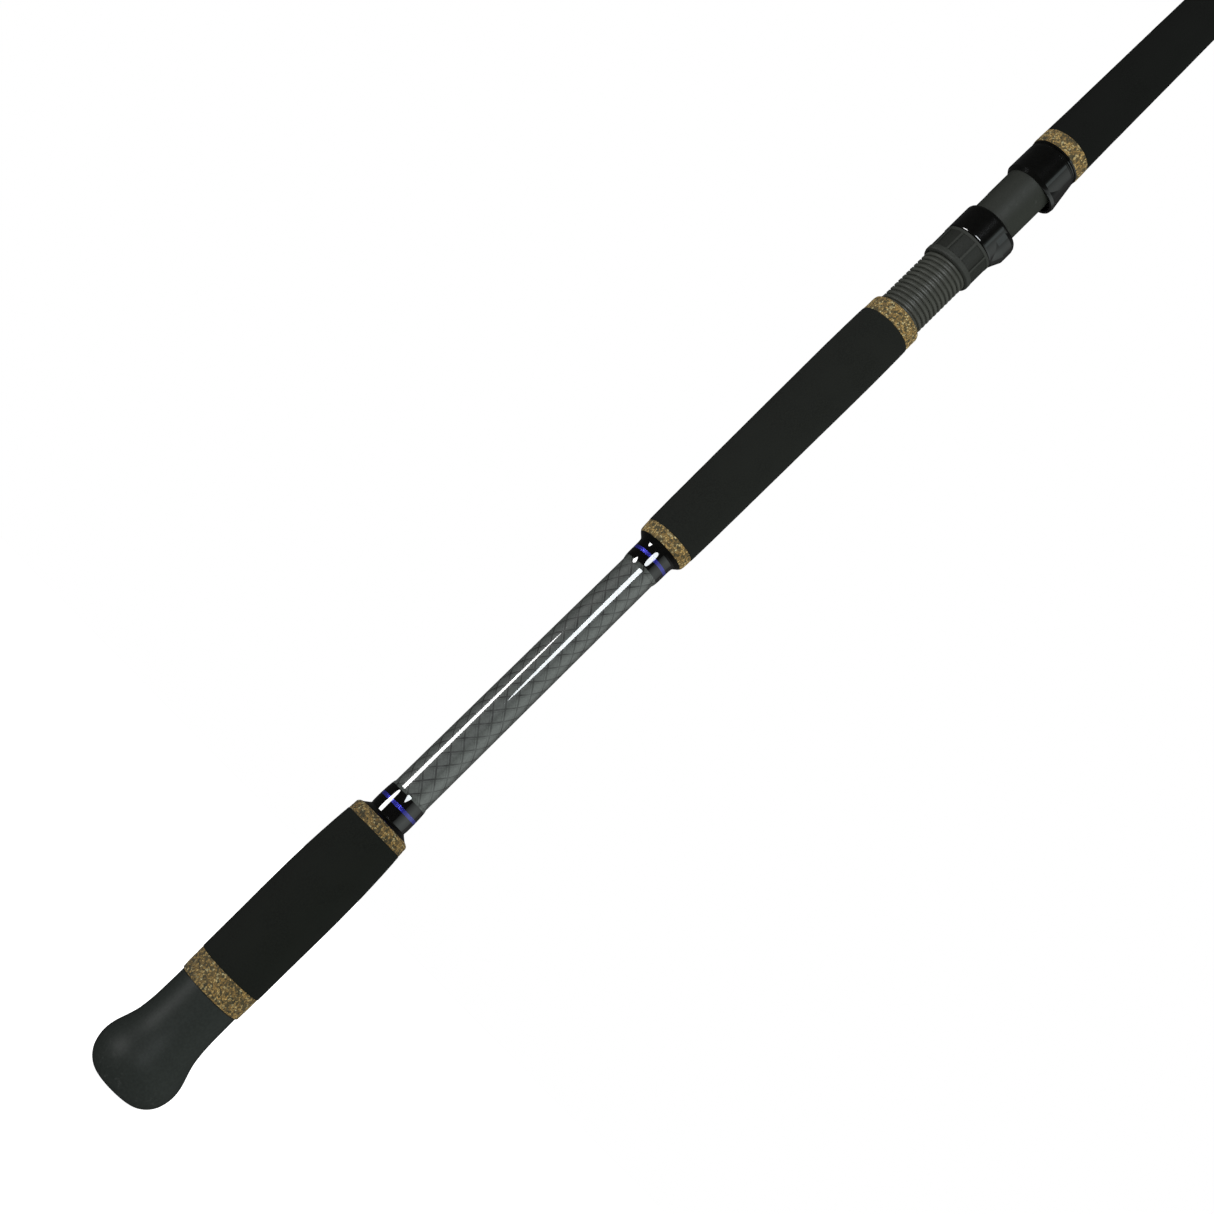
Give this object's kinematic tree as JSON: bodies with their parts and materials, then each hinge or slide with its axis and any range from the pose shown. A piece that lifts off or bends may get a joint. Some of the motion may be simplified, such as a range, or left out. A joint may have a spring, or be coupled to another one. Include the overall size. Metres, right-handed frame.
{
  "type": "spinning rod",
  "caption": "One-piece spinning rod with split foam grips, composite cork rings, a screw-down reel seat, ringed line guides and a rubber butt cap.",
  "frame": {"origin": "centre of the butt cap's flat end face", "axes": "+Z along the rod from butt to tip; the reel foot and the line guides are on the -Y side; X is across the rod"},
  "size_m": [0.043, 0.0703, 2.1299],
  "materials": {
    "cap_rubber": "satin",
    "composite_cork": "matte",
    "grip_foam": "matte",
    "blank_carbon": "gloss",
    "wrap_epoxy": "gloss",
    "trim_blue": "gloss",
    "seat_graphite": "satin",
    "nut_graphite": "satin",
    "arbor_foam": "matte",
    "hood_gloss": "gloss",
    "hood_liner": "matte",
    "check_metal": "satin",
    "guide_frame": "satin",
    "guide_ring": "gloss"
  },
  "bodies": {
    "rod": {"blank": "blank_carbon", "butt_cap": "cap_rubber", "butt_lower_cork": "composite_cork", "butt_grip": "grip_foam", "butt_upper_cork": "composite_cork", "butt_check": "wrap_epoxy", "lower_wrap": "wrap_epoxy", "lower_trim_band": "trim_blue", "upper_wrap": "wrap_epoxy", "upper_trim_band": "trim_blue", "rear_check": "wrap_epoxy", "rear_lower_cork": "composite_cork", "rear_grip": "grip_foam", "rear_upper_cork": "composite_cork", "reel_seat": "seat_graphite", "seat_rear_arbor": "arbor_foam", "seat_fore_arbor": "arbor_foam", "fixed_hood": "hood_gloss", "fixed_hood_liner": "hood_liner", "fore_cork": "composite_cork", "fore_grip": "grip_foam", "fore_check": "check_metal", "fore_wrap": "wrap_epoxy", "fore_trim_band": "trim_blue", "guide_1_frame": "guide_frame", "guide_1_ring": "guide_ring", "guide_1_rear_wrap": "wrap_epoxy", "guide_1_front_wrap": "wrap_epoxy", "guide_2_frame": "guide_frame", "guide_2_ring": "guide_ring", "guide_2_rear_wrap": "wrap_epoxy", "guide_2_front_wrap": "wrap_epoxy", "guide_3_frame": "guide_frame", "guide_3_ring": "guide_ring", "guide_3_rear_wrap": "wrap_epoxy", "guide_3_front_wrap": "wrap_epoxy", "guide_4_frame": "guide_frame", "guide_4_ring": "guide_ring", "guide_4_rear_wrap": "wrap_epoxy", "guide_4_front_wrap": "wrap_epoxy", "guide_5_frame": "guide_frame", "guide_5_ring": "guide_ring", "guide_5_rear_wrap": "wrap_epoxy", "guide_5_front_wrap": "wrap_epoxy", "guide_6_frame": "guide_frame", "guide_6_ring": "guide_ring", "guide_6_rear_wrap": "wrap_epoxy", "guide_6_front_wrap": "wrap_epoxy", "tip_top": "guide_frame", "tip_top_ring": "guide_ring", "tip_wrap": "wrap_epoxy", "hook_keeper": "guide_frame", "hook_keeper_rear_wrap": "wrap_epoxy", "hook_keeper_front_wrap": "wrap_epoxy"},
    "hood": {"sliding_hood": "hood_gloss", "sliding_hood_liner": "hood_liner"},
    "nut": {"lock_nut": "nut_graphite"}
  },
  "joints": [
    {"name": "hood_slide", "type": "slide", "parent": "rod", "child": "hood", "axis": [0, 0, 1], "range_m": [-0.031, 0.007]},
    {"name": "nut_spin", "type": "hinge", "parent": "hood", "child": "nut", "pos_m": [0, 0, 0.55], "axis": [0, 0, 1], "range_deg": [-4000, 920]}
  ],
  "couplings": [
    {"joint": "nut_spin", "follows": "hood_slide", "rad_per_m": 2244}
  ]
}
